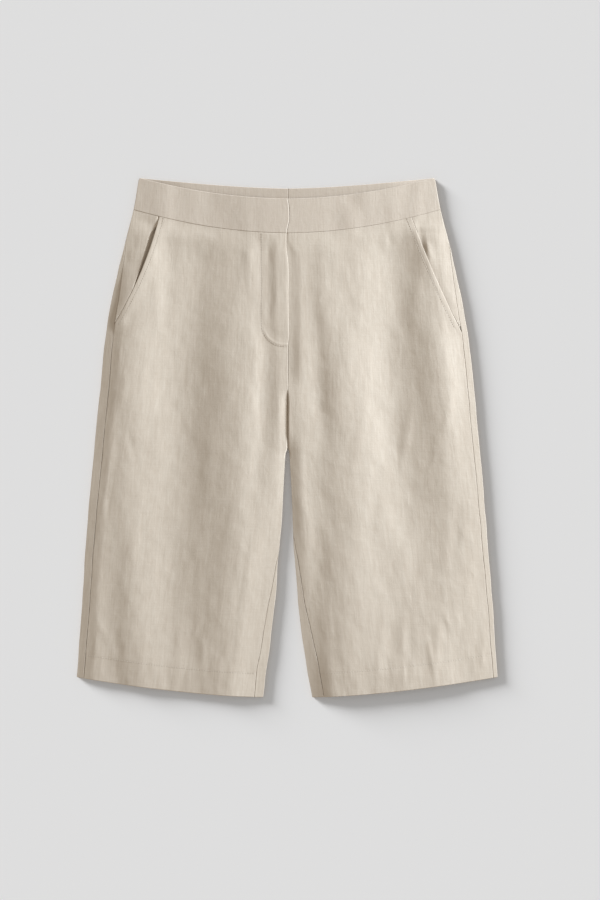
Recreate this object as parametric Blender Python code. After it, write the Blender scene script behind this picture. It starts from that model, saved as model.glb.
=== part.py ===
"""Bermuda shorts in linen, laid flat on their back panels, front side up.

Frame: X across the garment (the wearer's left at +X), Y from the hems up to the waist, Z up
from the surface that the shorts lie on.  The origin is the middle of the outline, on that
surface.  Sizes are in millimetres and become metres when a mesh is made.

Every piece is a wall of cloth.  Its outer face is a grid of points on the flattened tube that
the garment makes: a top run with soft folds, round folds at the side and at the inner leg, and
a bottom run flat on the surface.  Its inner face is the same grid moved in by the thickness.
"""
import math
from collections import namedtuple

import bpy
import numpy as np

MM = 0.001

# ---- driving dimensions, millimetres ----
CENTRE_X = 1.2              # X of the centre-front and centre-back line
WAIST_CORNER_Y = 316.5      # top corner of the waistband, at the side
BAND_SEAM_Y = 277.5         # waistband seam, at the side
HEM_CORNER_Y = -292.0       # hem, at the side fold
FORK_Y = -18.0              # crotch, where the two legs part
HEM_DROP = 24.5             # the hem is this much lower at the inner leg
BAND_SEAM_DROP = 28.5       # the front band seam is this much lower at the centre
BACK_SEAM_DROP = 15.0
FRONT_TOP_DROP = 25.5       # the band's top edge, likewise
BACK_TOP_DROP = 13.0
HEM_BOW = 1.6               # how fast those edges fall away from the side: 1 is a straight line
SEAM_BOW = 1.9
BACK_TOP_BOW = 1.55
HEM_DEPTH = 27.0
LEG_BLEND = 50.0            # body turns to legs over this height above the fork
FORK_FLARE = 62.0           # and the fronts turn down into the fork over this height
STRAIGHT_BELOW = 8.0        # rows stay level from this far below the fork
STRAIGHT_ABOVE = 30.0       # to this far above it

GAP = 0.3                   # clear space between two pieces at a seam
BACK_CLOTH = 1.2            # wall thicknesses
FRONT_CLOTH = 1.2
BAND_CLOTH = 1.8
TURNED_CLOTH = 0.8          # added where cloth is turned under: fly facing and hem
FOLD_RADIUS = 2.5           # outer radius of the side and inner-leg folds
EDGE_HEIGHT = 2 * FOLD_RADIUS

LOFT = 4.9                  # height of the front between its folds
CENTRE_SEAM_LOFT = 3.9      # and along the centre-front seam below the fly
LAP_LOFT = 5.0              # outer face of the lap, over the underlap
UNDERLAP_LOFT = 2.7
BAND_LOFT = 5.0
BAND_LAP_LOFT = 6.1
FULL_CLOTH_FROM = 5.6       # crests above this height have a thicker wall
CREST_THICKENING = 0.55
SIDE_ROLL = 24.0            # the front comes down to the side seam over this width
INNER_ROLL = 20.0           # to the inner seam
CENTRE_ROLL = 16.0          # to the centre seam
BAND_ROLL = 26.0

FLY_WIDTH = 32.0            # centre edge to the J stitching
FLY_BOTTOM_Y = 111.0
FLY_CORNER = 27.0           # radius of the J's round corner
UNDERLAP = 12.0             # the left front under the lap
BAND_UNDERLAP = 25.0
POCKET_TUCK = 20.0          # the side piece runs on under the pocket mouth
POCKET_LIFT = 1.0           # the mouth's edge stands up by this much
POCKET_LIFT_WIDTH = 16.0
POCKET_FLOOR = 12.0         # and below the mouth's lower end

# ---- outline, a row per height; distances are measured out from the centre line ----
Edge = namedtuple("Edge", "y right left")
SIDE_FOLD = [
    Edge(316.5, 181.4, 178.8),
    Edge(277.5, 188.0, 185.8),
    Edge(241.0, 197.5, 195.0),
    Edge(216.5, 203.3, 201.0),
    Edge(168.0, 214.6, 211.6),
    Edge(119.0, 222.4, 219.8),
    Edge(46.0, 229.8, 227.8),
    Edge(-40.0, 238.4, 235.8),
    Edge(-125.0, 245.6, 243.0),
    Edge(-210.0, 251.2, 249.8),
    Edge(-292.0, 257.2, 255.0),
]
INNER_FOLD = [
    Edge(-14.0, 0.15, 0.15),
    Edge(-18.0, 1.7, 1.1),
    Edge(-23.0, 3.6, 2.2),
    Edge(-60.0, 5.4, 4.2),
    Edge(-99.0, 7.6, 5.8),
    Edge(-150.0, 12.2, 8.2),
    Edge(-198.0, 15.2, 12.2),
    Edge(-247.0, 21.2, 17.8),
    Edge(-316.5, 30.5, 29.3),
]
# ---- how far the seams lie in from the folds, on the top face ----
SIDE_SEAM_IN = [
    Edge(316.5, 0.0, 0.0),
    Edge(241.0, 0.0, 0.0),
    Edge(219.0, 3.2, 2.4),
    Edge(168.0, 8.6, 7.0),
    Edge(40.0, 10.2, 8.0),
    Edge(-60.0, 10.0, 7.6),
    Edge(-292.0, 8.2, 5.2),
]
INNER_SEAM_IN = [
    Edge(-118.0, 0.0, 0.0),
    Edge(-145.0, 0.6, 3.0),
    Edge(-198.0, 7.6, 7.2),
    Edge(-240.0, 9.8, 12.0),
    Edge(-280.0, 11.8, 14.6),
    Edge(-316.5, 11.0, 14.0),
]
# ---- slanted pocket mouths ----
Mouth = namedtuple("Mouth", "top_q top_y bottom_q bottom_y bow")
MOUTH = {
    "right": Mouth(157.5, 268.5, 212.6, 136.0, 4.5),
    "left": Mouth(150.5, 268.5, 209.6, 132.0, 2.5),
}
# ---- lengthwise folds of the fronts: distance from the centre line and height, at four levels ----
FOLD_LEVELS = (190.0, 20.0, -120.0, -290.0)
Fold = namedtuple("Fold", "q_hip q_fork q_thigh q_hem h_hip h_fork h_thigh h_hem half_width")
FOLDS = {
    "right": [
        Fold(36, 36, 36, 36, -0.9, 0.0, 0.0, 0.0, 13),        # dip along the J stitching
        Fold(60, 66, 72, 74, 1.2, 2.3, 2.8, 2.6, 27),         # inner crest
        Fold(118, 130, 132, 126, -1.8, -2.4, -1.5, 0.4, 34),  # valley down the middle of the leg
        Fold(184, 190, 200, 182, 2.0, 2.1, 1.8, 2.4, 24),     # outer crest
    ],
    "left": [
        Fold(64, 72, 72, 80, 1.2, 1.9, 3.1, 3.2, 28),
        Fold(130, 130, 146, 136, -1.6, -2.0, -0.6, 1.9, 34),
        Fold(176, 186, 196, 184, 2.2, 2.3, 1.2, 1.5, 24),
    ],
}
FOLD_TOP_Y = 262.0          # the folds start below the band seam
FOLD_FADE = 45.0
LOWEST_FRONT = 3.0
HIGHEST_FRONT = 7.2

# ---- grids: places of the columns in from the centre end and from the side end ----
CENTRE_COLUMNS = (0.0, 1.6, 3.2, 4.8, 14.0, 24.0, 32.0)
SIDE_COLUMNS = (8.0, 4.8, 2.4, 0.0)
FRONT_MIDDLE = 14
BACK_SIDE_COLUMNS = (0.0, 3.0, 6.0, 9.0, 12.0, 15.0, 18.0, 21.0)
BACK_MIDDLE = 5
BAND_CENTRE_COLUMNS = (0.0, 12.0, 26.0, 38.0)
BAND_SIDE_COLUMNS = (7.0, 4.8, 3.2, 1.6, 0.0)
BAND_MIDDLE = 7
BAND_ROWS = 5
POCKET_COLUMNS = (0.0, 0.45, 0.55, 0.7, 0.84, 0.92, 1.0)

SIGN = {"right": -1.0, "left": 1.0}


# ------------------------------------------------------------------ small functions

def smooth(start, end, value):
    """0 up to start, 1 from end on, with a soft change between."""
    t = np.clip((np.asarray(value, float) - start) / (end - start), 0.0, 1.0)
    return t * t * (3.0 - 2.0 * t)


def curve_through(xs, ys, x):
    """Value at x of the smooth curve through a short table of points, xs rising."""
    xs = np.asarray(xs, float)
    ys = np.asarray(ys, float)
    slopes = np.gradient(ys, xs)
    x = np.clip(np.asarray(x, float), xs[0], xs[-1])
    i = np.clip(np.searchsorted(xs, x, side="right") - 1, 0, len(xs) - 2)
    width = xs[i + 1] - xs[i]
    t = (x - xs[i]) / width
    return ((2 * t**3 - 3 * t**2 + 1) * ys[i] + (t**3 - 2 * t**2 + t) * width * slopes[i]
            + (3 * t**2 - 2 * t**3) * ys[i + 1] + (t**3 - t**2) * width * slopes[i + 1])


def edge_at(table, half, y):
    rows = sorted(table, key=lambda row: row.y)
    return curve_through([row.y for row in rows], [getattr(row, half) for row in rows], y)


def straight_at(table, half, y):
    rows = sorted(table, key=lambda row: row.y)
    return np.interp(y, [row.y for row in rows], [getattr(row, half) for row in rows])


def side_fold(half, y):
    return edge_at(SIDE_FOLD, half, y)


def inner_fold(half, y):
    return straight_at(INNER_FOLD, half, y)


def side_seam_in(half, y):
    return straight_at(SIDE_SEAM_IN, half, y)


def inner_seam_in(half, y):
    return straight_at(INNER_SEAM_IN, half, y)


def seam_angle(inset):
    """Angle down the fold's arc, from its top, at which a seam lies that is this far in."""
    return np.arcsin(np.clip(1.0 - inset / FOLD_RADIUS, 0.0, 1.0))


def turn_down(y):
    """Angle through which the fronts turn down into the fork; none above it, 90 degrees below."""
    return 0.5 * math.pi * smooth(FORK_Y + FORK_FLARE, FORK_Y, y)


def leg_share(y):
    """0 in the body of the shorts, 1 in the legs."""
    return smooth(FORK_Y + LEG_BLEND, FORK_Y, y)


def mouth_at(half, y):
    """Distance of the pocket mouth from the centre line."""
    mouth = MOUTH[half]
    t = np.clip((mouth.top_y - np.asarray(y, float)) / (mouth.top_y - mouth.bottom_y), -0.2, 1.3)
    return mouth.top_q + t * (mouth.bottom_q - mouth.top_q) - 4 * mouth.bow * t * (1 - t)


# ------------------------------------------------------------------ where things end

def front_side_end(half, y):
    """The front panel ends at the pocket mouth, and below it at the side seam."""
    seam = side_fold(half, y) - side_seam_in(half, y) - GAP / 2
    return np.where(np.asarray(y) > MOUTH[half].bottom_y - 25.0,
                    np.minimum(seam, mouth_at(half, y)), seam)


def fly_share(y):
    """1 along the lap, 0 below the fly."""
    return smooth(FLY_BOTTOM_Y, FLY_BOTTOM_Y + 14.0, y)


def front_centre_end(half, y):
    """Path place of the centre end: the underlap's edge, the centre seam or the inner seam."""
    inner = inner_fold(half, y)
    turn = np.minimum(turn_down(y), seam_angle(inner_seam_in(half, y)))
    seam = np.where(inner_seam_in(half, y) > FOLD_RADIUS,
                    inner + inner_seam_in(half, y) + GAP / 2,
                    arc_top(half, y) - FOLD_RADIUS * turn + GAP / 2 * (turn > 0.01))
    return seam - UNDERLAP * fly_share(y) * (half == "left")


def arc_top(half, y):
    """Distance from the centre line at which the inner fold's arc starts to turn down."""
    return inner_fold(half, y) + FOLD_RADIUS * np.sin(turn_down(y))


# ------------------------------------------------------------------ heights of the top face

def fold_relief(half, q, y):
    """Sum of the soft lengthwise folds."""
    levels = FOLD_LEVELS[::-1]
    total = np.zeros(np.broadcast(q, y).shape)
    for fold in FOLDS[half]:
        place = curve_through(levels, (fold.q_hem, fold.q_thigh, fold.q_fork, fold.q_hip), y)
        height = curve_through(levels, (fold.h_hem, fold.h_thigh, fold.h_fork, fold.h_hip), y)
        total = total + height * np.exp(-((q - place) / fold.half_width) ** 2)
    return total * smooth(FOLD_TOP_Y, FOLD_TOP_Y - FOLD_FADE, y)


def front_height(half, q, y):
    """Height of a front's outer face."""
    z = LOFT + fold_relief(half, q, y)
    z = LOWEST_FRONT + (HIGHEST_FRONT - LOWEST_FRONT) * smooth(
        LOWEST_FRONT - 1.2, HIGHEST_FRONT + 1.2, z)
    seam = np.maximum(side_fold(half, y) - np.maximum(side_seam_in(half, y), FOLD_RADIUS), 60.0)
    z = z + (EDGE_HEIGHT - z) * smooth(seam - SIDE_ROLL, seam, q)
    below_fly = (1 - leg_share(y)) * (1 - fly_share(y))
    z = z + (CENTRE_SEAM_LOFT - z) * smooth(CENTRE_ROLL, 0.0, q) * below_fly
    inner = inner_fold(half, y) + np.maximum(inner_seam_in(half, y), FOLD_RADIUS)
    z = z + (EDGE_HEIGHT - z) * smooth(inner + INNER_ROLL, inner, q) * leg_share(y)
    if half == "right":
        lap = smooth(UNDERLAP + 18.0, UNDERLAP + 2.0, q) * fly_share(y + 26.0)
        z = z + (LAP_LOFT - z) * lap
    else:
        z = z + (UNDERLAP_LOFT - z) * smooth(14.0, 0.5, q) * fly_share(y + 16.0)
    mouth = mouth_at(half, y)
    at_pocket = smooth(MOUTH[half].bottom_y - 30.0, MOUTH[half].bottom_y + 10.0, y)
    return z + POCKET_LIFT * at_pocket * np.exp(-((q - mouth) / POCKET_LIFT_WIDTH) ** 2)


def pocket_height(half, q, y):
    """Height of the side piece: under the front up to the mouth, then up to the side fold."""
    mouth = np.minimum(mouth_at(half, y), side_fold(half, y) - side_seam_in(half, y))
    under = front_height(half, np.minimum(q, mouth), y) - FRONT_CLOTH - GAP - 0.1
    under = under - front_thickening(front_height(half, np.minimum(q, mouth), y))
    fold = side_fold(half, y) - FOLD_RADIUS
    width = side_fold(half, y) - side_seam_in(half, y) - mouth
    rise = (EDGE_HEIGHT - under) * smooth(2.0, 22.0, width)
    return under + rise * smooth(mouth, fold, q)


def band_height(half, q, y):
    """Height of a front waistband's outer face."""
    z = BAND_LOFT + 0 * q + 0 * y
    if half == "right":
        z = z + (BAND_LAP_LOFT - z) * smooth(BAND_UNDERLAP + 26.0, BAND_UNDERLAP + 2.0, q)
    else:
        z = z + (BAND_CLOTH * 2 + GAP - z) * smooth(34.0, 1.0, q)
    fold = side_fold(half, y) - FOLD_RADIUS
    return z + (EDGE_HEIGHT - z) * smooth(fold - BAND_ROLL, fold, q)


# ------------------------------------------------------------------ points on the flattened tube

def top_point(height, half, s, y):
    """Point of the top face at path place s, which runs on down the arcs at both folds.

    height is one of the functions above.  Returns distance out and height.
    """
    fold = side_fold(half, y) - FOLD_RADIUS
    inner = np.where(y < FORK_Y + FORK_FLARE, arc_top(half, y), -1000.0)
    out_angle = np.maximum(s - fold, 0.0) / FOLD_RADIUS
    in_angle = np.maximum(inner - s, 0.0) / FOLD_RADIUS
    flat = np.clip(s, inner, fold)
    q = flat + FOLD_RADIUS * (np.sin(out_angle) - np.sin(in_angle))
    z = height(half, flat, y)
    return q, z - FOLD_RADIUS * (2.0 - np.cos(out_angle) - np.cos(in_angle))


def back_inner(half, y):
    """Where the bottom run ends, and the angle and top length by which the back turns up."""
    up = 0.5 * math.pi * smooth(FORK_Y + 14.0, FORK_Y, y)
    inset = inner_seam_in(half, y)
    angle = np.where(inset > 0, math.pi - seam_angle(inset), up)
    corner = inner_fold(half, y) + FOLD_RADIUS * np.sin(np.minimum(angle, 0.5 * math.pi))
    return corner, angle, np.maximum(inset - FOLD_RADIUS, 0.0)


def back_point(half, s, y):
    """Point of a back panel's outer face; s is 0 at the top of the side fold's arc."""
    fold = side_fold(half, y) - FOLD_RADIUS
    corner, angle, top_run = back_inner(half, y)
    half_turn = math.pi * FOLD_RADIUS
    arc_end = half_turn + (fold - corner)
    turned = np.clip(s, 0.0, half_turn) / FOLD_RADIUS
    run = np.clip(s - half_turn, 0.0, fold - corner)
    up = np.clip(s - arc_end, 0.0, half_turn) / FOLD_RADIUS
    beyond = np.maximum(s - arc_end - half_turn, 0.0)
    before = np.minimum(s, 0.0)
    q = fold + before + FOLD_RADIUS * np.sin(turned) - run - FOLD_RADIUS * np.sin(up) + beyond
    z = EDGE_HEIGHT - FOLD_RADIUS * (1 - np.cos(turned)) + FOLD_RADIUS * (1 - np.cos(up))
    return q, z


def back_ends(half, y):
    """Path places of a back panel's two ends, at the side seam and at the inner or centre seam."""
    inset = side_seam_in(half, y)
    start = np.where(inset > FOLD_RADIUS, FOLD_RADIUS - inset, FOLD_RADIUS * seam_angle(inset))
    corner, angle, top_run = back_inner(half, y)
    end = math.pi * FOLD_RADIUS + (side_fold(half, y) - FOLD_RADIUS - corner)
    end = end + angle * FOLD_RADIUS + top_run
    return start + GAP / 2, end - GAP / 2 * (angle > 0.01)


# ------------------------------------------------------------------ thicknesses

def front_thickening(z):
    return CREST_THICKENING * np.maximum(z - FULL_CLOTH_FROM, 0.0)


def fly_mask(half, q, y):
    """1 inside the J of the fly facing."""
    if half == "left":
        return 0 * q + 0 * y
    corner_y = FLY_BOTTOM_Y + FLY_CORNER
    reach = FLY_WIDTH - FLY_CORNER + np.sqrt(
        np.maximum(FLY_CORNER**2 - np.maximum(corner_y - y, 0.0) ** 2, 0.0))
    return smooth(reach + 1.5, reach - 1.5, q) * smooth(FLY_BOTTOM_Y - 1.0, FLY_BOTTOM_Y + 2.0, y)


def front_wall(half, q, y, z):
    hem_line = HEM_CORNER_Y - hem_drop(half, q, y) + HEM_DEPTH
    turned = np.maximum(fly_mask(half, q, y), smooth(hem_line + 2.0, hem_line - 2.0, y))
    return FRONT_CLOTH + np.maximum(TURNED_CLOTH * turned, front_thickening(z))


# ------------------------------------------------------------------ how rows bend

def across(half, q, y):
    """0 at the side fold, 1 at the centre line or inner fold."""
    inner = np.where(y < FORK_Y, inner_fold(half, y), 0.0)
    side = side_fold(half, y)
    return np.clip((side - np.abs(q)) / (side - inner), 0.0, 1.0)


def hem_drop(half, q, y):
    return HEM_DROP * (1 - (1 - across(half, q, y)) ** HEM_BOW)


def centre_drop(half, q, y, drop, bow=SEAM_BOW):
    return drop * (1 - (1 - across(half, q, y)) ** bow)


def bent_row(half, q, y, seam_drop):
    """Height along Y of a row that is level at the fork, and follows the hem and the band seam."""
    low = smooth(FORK_Y - STRAIGHT_BELOW, HEM_CORNER_Y + HEM_DEPTH, y)
    high = smooth(FORK_Y + STRAIGHT_ABOVE, BAND_SEAM_Y - 20.0, y)
    return y - hem_drop(half, q, y) * low - centre_drop(half, q, y, seam_drop) * high


# ------------------------------------------------------------------ solids

def stations(first, *stops):
    """Levels that start with a list and go on by stops, each (y, number of steps up to it)."""
    levels = list(first)
    for y, steps in stops:
        levels += list(np.linspace(levels[-1], y, steps + 1)[1:])
    return levels


def leg_levels():
    """Rows that the front and the back share, from the hem to just above the fork."""
    hem_line = HEM_CORNER_Y + HEM_DEPTH
    return stations([HEM_CORNER_Y], (hem_line - 3, 2), (hem_line + 3, 1),
                    (FORK_Y - STRAIGHT_BELOW, 11), (FORK_Y + 6, 4))


def columns(start, end, near_start, middle, near_end):
    """Path places between two ends, close together near both ends."""
    first = start + near_start[-1]
    last = end - near_end[0]
    between = [first + (last - first) * (i + 1) / (middle + 1) for i in range(middle)]
    return [start + d for d in near_start] + between + [end - d for d in near_end]


def offset_inward(point, s, y, thickness):
    """Move the section's points in, square to the section curve."""
    step = 0.05
    q1, z1 = point(s + step, y)
    q0, z0 = point(s - step, y)
    length = np.hypot(q1 - q0, z1 - z0)
    q, z = point(s, y)
    return q + thickness * (z1 - z0) / length, z - thickness * (q1 - q0) / length


def wall_mesh(name, outer, inner):
    """Closed mesh between two grids of (x, y, z) points in millimetres."""
    rows, cols = outer.shape[:2]
    points = np.concatenate([outer.reshape(-1, 3), inner.reshape(-1, 3)]) * MM
    back = rows * cols

    def at(r, c, face=0):
        return face * back + r * cols + c

    faces = []
    for r in range(rows - 1):
        for c in range(cols - 1):
            faces.append((at(r, c), at(r, c + 1), at(r + 1, c + 1), at(r + 1, c)))
            faces.append((at(r, c, 1), at(r + 1, c, 1), at(r + 1, c + 1, 1), at(r, c + 1, 1)))
    for c in range(cols - 1):
        faces.append((at(0, c), at(0, c, 1), at(0, c + 1, 1), at(0, c + 1)))
        faces.append((at(rows - 1, c), at(rows - 1, c + 1), at(rows - 1, c + 1, 1),
                      at(rows - 1, c, 1)))
    for r in range(rows - 1):
        faces.append((at(r, 0), at(r + 1, 0), at(r + 1, 0, 1), at(r, 0, 1)))
        faces.append((at(r, cols - 1), at(r, cols - 1, 1), at(r + 1, cols - 1, 1),
                      at(r + 1, cols - 1)))
    mesh = bpy.data.meshes.new(name)
    mesh.from_pydata(points.tolist(), [], faces)
    if signed_volume(points, faces) < 0:
        mesh.flip_normals()
    mesh.shade_smooth()
    mesh.set_sharp_from_angle(angle=math.radians(50))
    piece = bpy.data.objects.new(name, mesh)
    bpy.context.scene.collection.objects.link(piece)
    return piece


def signed_volume(points, faces):
    total = 0.0
    for a, b, c, d in faces:
        for i, j, k in ((a, b, c), (a, c, d)):
            total += float(np.dot(points[i], np.cross(points[j], points[k])))
    return total / 6.0


def cloth(piece, colour):
    """A linen material of the piece's own."""
    material = bpy.data.materials.new(piece.name + "_linen")
    material.use_nodes = True
    shader = material.node_tree.nodes["Principled BSDF"]
    shader.inputs["Base Color"].default_value = (*colour, 1.0)
    shader.inputs["Roughness"].default_value = 0.9
    shader.inputs["Metallic"].default_value = 0.0
    piece.data.materials.append(material)


def build_wall(name, half, levels, column_places, level_at, point, thickness):
    """A piece from rows and columns.

    column_places(y) gives the path places of a row, level_at(q, y) the row's bent height,
    point(s, y) the outer face and thickness(q, y, z) the wall.
    """
    y_row = np.repeat(np.asarray(levels)[:, None], len(column_places(levels[0])), axis=1)
    q_row = point(np.array([column_places(y) for y in levels]), y_row)[0]
    y = level_at(q_row, y_row)
    s = np.array([[column_places(value)[c] for c, value in enumerate(row)] for row in y])
    q, z = point(s, y)
    wall = thickness(q, y, z)
    q_in, z_in = offset_inward(point, s, y, wall)
    x = CENTRE_X + SIGN[half] * q
    x_in = CENTRE_X + SIGN[half] * q_in
    return wall_mesh(name, np.stack([x, y, z], axis=-1), np.stack([x_in, y, z_in], axis=-1))


def front_panel(half):
    """A front: waist to hem, centre front and inner seam to pocket mouth and side seam."""
    levels = stations(leg_levels(), (FLY_BOTTOM_Y - 5, 7), (FLY_BOTTOM_Y + 30, 5),
                      (BAND_SEAM_Y - GAP / 2, 9))

    def places(y):
        return columns(float(front_centre_end(half, y)), float(front_side_end(half, y)),
                       CENTRE_COLUMNS, FRONT_MIDDLE, SIDE_COLUMNS)

    return build_wall(
        "front_" + half, half, levels, places,
        lambda q, y: bent_row(half, q, y, BAND_SEAM_DROP),
        lambda s, y: top_point(front_height, half, s, y),
        lambda q, y, z: front_wall(half, q, y, z))


def back_panel(half):
    """A back: flat on the surface, round the folds to the seams on the top face."""
    levels = stations(leg_levels(), (168.0, 6), (219.0, 2), (241.0, 2),
                      (BAND_SEAM_Y - GAP / 2, 2))

    def places(y):
        start, end = back_ends(half, y)
        return columns(float(start), float(end), BACK_SIDE_COLUMNS, BACK_MIDDLE,
                       BACK_SIDE_COLUMNS[::-1])

    return build_wall(
        "back_" + half, half, levels, places,
        lambda q, y: bent_row(half, q, y, BACK_SEAM_DROP),
        lambda s, y: back_point(half, s, y),
        lambda q, y, z: BACK_CLOTH + 0 * z)


def pocket_side(half):
    """The side piece that shows in the slanted pocket mouth."""
    bottom = MOUTH[half].bottom_y
    levels = stations([bottom - POCKET_FLOOR], (bottom + POCKET_FLOOR, 5), (BAND_SEAM_Y - GAP / 2, 9))

    def places(y):
        mouth = mouth_at(half, np.maximum(y, bottom))
        inset = side_seam_in(half, y)
        fold = side_fold(half, y) - FOLD_RADIUS
        seam = np.where(inset > FOLD_RADIUS, fold + FOLD_RADIUS - inset,
                        fold + FOLD_RADIUS * seam_angle(inset)) - GAP / 2
        end = float(seam - 6.0 * smooth(bottom + 5.0, bottom - 5.0, y))
        start = float(np.minimum(mouth, end) - POCKET_TUCK)
        return [start + (end - start) * share for share in POCKET_COLUMNS]

    return build_wall(
        "pocket_side_" + half, half, levels, places,
        lambda q, y: bent_row(half, q, y, BAND_SEAM_DROP),
        lambda s, y: top_point(pocket_height, half, s, y),
        lambda q, y, z: FRONT_CLOTH + 0 * z)


def band_level(half, share, seam_drop, top_drop, top_bow):
    """Row of a waistband: share 0 on the band seam, 1 on the top edge."""
    def level(q, y):
        low = BAND_SEAM_Y + GAP / 2 - centre_drop(half, q, y, seam_drop)
        high = WAIST_CORNER_Y - centre_drop(half, q, y, top_drop, top_bow)
        return low + (high - low) * share
    return level


def waistband_front(half):
    levels = np.linspace(BAND_SEAM_Y + GAP / 2, WAIST_CORNER_Y, BAND_ROWS)
    shares = np.linspace(0.0, 1.0, BAND_ROWS)[:, None]
    start = GAP / 2 if half == "right" else -BAND_UNDERLAP

    def places(y):
        end = float(side_fold(half, y) - FOLD_RADIUS + FOLD_RADIUS * math.pi / 2 - GAP / 2)
        return columns(start, end, BAND_CENTRE_COLUMNS, BAND_MIDDLE, BAND_SIDE_COLUMNS)

    return build_wall(
        "waistband_front_" + half, half, levels, places,
        band_level(half, shares, BAND_SEAM_DROP, FRONT_TOP_DROP, SEAM_BOW),
        lambda s, y: top_point(band_height, half, s, y),
        lambda q, y, z: BAND_CLOTH + 0 * z)


def waistband_back(half):
    levels = np.linspace(BAND_SEAM_Y + GAP / 2, WAIST_CORNER_Y, BAND_ROWS)
    shares = np.linspace(0.0, 1.0, BAND_ROWS)[:, None]

    def places(y):
        fold = float(side_fold(half, y)) - FOLD_RADIUS
        start = FOLD_RADIUS * math.pi / 2 + GAP / 2
        end = FOLD_RADIUS * math.pi + fold - GAP / 2
        return columns(start, end, BAND_SIDE_COLUMNS[::-1], BAND_MIDDLE, (12.0, 0.0))

    return build_wall(
        "waistband_back_" + half, half, levels, places,
        band_level(half, shares, BACK_SEAM_DROP, BACK_TOP_DROP, BACK_TOP_BOW),
        lambda s, y: back_point(half, s, y),
        lambda q, y, z: BAND_CLOTH + 0 * z)


def clear_scene():
    for item in list(bpy.data.objects):
        bpy.data.objects.remove(item, do_unlink=True)


def main():
    clear_scene()
    for half in ("right", "left"):
        cloth(front_panel(half), (0.62, 0.55, 0.46))
        cloth(back_panel(half), (0.57, 0.50, 0.42))
        cloth(pocket_side(half), (0.52, 0.45, 0.37))
        cloth(waistband_front(half), (0.60, 0.53, 0.44))
        cloth(waistband_back(half), (0.54, 0.47, 0.39))


main()
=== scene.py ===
"""Looks of the linen bermuda shorts, laid flat on a pale surface, front side up.

Sizes are in millimetres and become metres where a mesh is made.  X runs across the garment, Y
from the hems up to the waist, Z up.  A place on the garment is given by its half ("right" or
"left", the wearer's), its distance q out from the centre line, and its height y.

Each panel is a closed shell of cloth on the form of its CAD node.  Its outer face is a grid on
the flattened tube that the shorts make, and its edges are rounded as turned cloth is.
"""
import math
from collections import namedtuple
from functools import partial

import bpy
import numpy as np
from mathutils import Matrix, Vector


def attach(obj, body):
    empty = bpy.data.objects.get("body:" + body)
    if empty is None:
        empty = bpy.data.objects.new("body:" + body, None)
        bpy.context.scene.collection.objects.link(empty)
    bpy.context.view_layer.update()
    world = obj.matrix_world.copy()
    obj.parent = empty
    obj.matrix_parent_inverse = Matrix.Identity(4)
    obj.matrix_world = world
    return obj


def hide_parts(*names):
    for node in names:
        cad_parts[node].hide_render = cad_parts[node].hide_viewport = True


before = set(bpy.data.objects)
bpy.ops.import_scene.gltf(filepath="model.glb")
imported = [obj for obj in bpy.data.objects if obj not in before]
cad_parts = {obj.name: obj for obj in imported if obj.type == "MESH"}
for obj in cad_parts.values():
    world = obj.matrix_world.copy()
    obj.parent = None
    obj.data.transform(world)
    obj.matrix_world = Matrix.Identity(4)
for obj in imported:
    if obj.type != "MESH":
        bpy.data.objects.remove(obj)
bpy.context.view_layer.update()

MM = 0.001


def halves(right, left):
    """A value for each half of the garment."""
    return {"right": right, "left": left}


SIGN = halves(-1, 1)
GARMENT = []  # every piece, for the lamp that lights nothing else

# Random relief: the seeds of both halves, its height, and the size of its patches.
Patch = namedtuple("Patch", "right left height across along")
# A _SPAN is where a soft change starts and where it is complete.

# ---- the frame's own sizes
CENTRE_X = 1.2
WAIST_Y = 316.5
BAND_SEAM_Y = 277.5
HEM_Y = -292
FORK_Y = -18
HEM_DEPTH = 29
HEM_DROP = 24.5  # how far a row drops from side to middle, along a bow
BAND_SEAM_DROP = 28.5
BACK_SEAM_DROP = 15
FRONT_TOP_DROP = 25.5
BACK_TOP_DROP = 13
HEM_BOW = 1.6
SEAM_BOW = 1.9
BACK_TOP_BOW = 1.55
HEM_BEND_SPAN = (FORK_Y - 8, HEM_Y + HEM_DEPTH)  # rows follow the hem
BAND_BEND_SPAN = (FORK_Y + 30, BAND_SEAM_Y - 20)
EDGE_HEIGHT = 5.2  # of the top side on a fold
FOLD_RADIUS = EDGE_HEIGHT / 2
FOLD_WIDTH = 0.35  # how far a fold stands out
FOLD_TOP = 0.16  # height of its turn, from the top side to its widest point
FORK_TOP = 4  # the same beside the fork
FORK_TOP_SPAN = (FORK_Y - 8, FORK_Y + 4)
FORK_TURN_SPAN = (66, 38)  # the fronts turn down into the fork
BACK_TURN_SPAN = (FORK_Y + 14, FORK_Y)  # the backs turn up to meet them
LEG_SPAN = (FORK_Y + 26, FORK_Y)
GAP = 0.1  # between two shells at a seam
SIDE_OPEN = halves(0.22, 0.08)  # how much more leg seams stand open
INNER_OPEN = halves(0.06, 0.22)
OPEN_PATCH = Patch(15, 15, 0.8, 5.5, 1)  # here and there
SIDE_OPEN_SPAN = (130, 100)
INNER_OPEN_SPAN = (FOLD_WIDTH, 3)  # by how far in the seam lies
SIDE_WAVE = Patch(11, 12, 0.35, 21, 1)  # folds are a little wavy
SIDE_WAVE_SPAN = (270, 230)
INNER_WAVE = Patch(13, 14, 0.5, 26, 1)
INNER_WAVE_SPAN = (-60, -110)

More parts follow.
